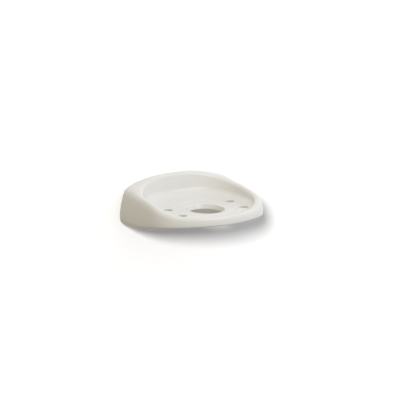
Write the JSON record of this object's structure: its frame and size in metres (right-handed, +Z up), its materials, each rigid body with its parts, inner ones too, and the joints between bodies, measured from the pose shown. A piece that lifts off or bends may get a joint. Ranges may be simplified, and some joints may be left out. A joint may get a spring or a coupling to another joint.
{
  "type": "wall tumbler and toothbrush holder",
  "caption": "Glazed china dish that hooks down over a hidden wall bracket, with a sunk round seat and drain for a tumbler and holes for toothbrushes.",
  "frame": {"origin": "middle of the wall bracket's back face, on the wall's surface", "axes": "+Y into the wall, -Y out into the room along the dish's depth, +X to the dish's right as seen from the room, +Z up"},
  "size_m": [0.14, 0.1435, 0.0478],
  "materials": {
    "glazed_china": "opaque cream-white glazed vitreous china, glossy",
    "zinc_plated_steel": "zinc-plated pressed steel, satin",
    "grey_nylon": "moulded nylon, matt"
  },
  "bodies": {
    "bracket": {"wall_bracket": "zinc_plated_steel", "bracket_screw_upper": "zinc_plated_steel", "bracket_screw_lower": "zinc_plated_steel", "washer_upper": "zinc_plated_steel", "washer_lower": "zinc_plated_steel", "wall_plug_upper": "grey_nylon", "wall_plug_lower": "grey_nylon"},
    "dish": {"dish": "glazed_china"}
  },
  "joints": [
    {"name": "dish_lift", "type": "slide", "parent": "bracket", "child": "dish", "axis": [0, 0, 1], "range_m": [0, 0.045]}
  ]
}
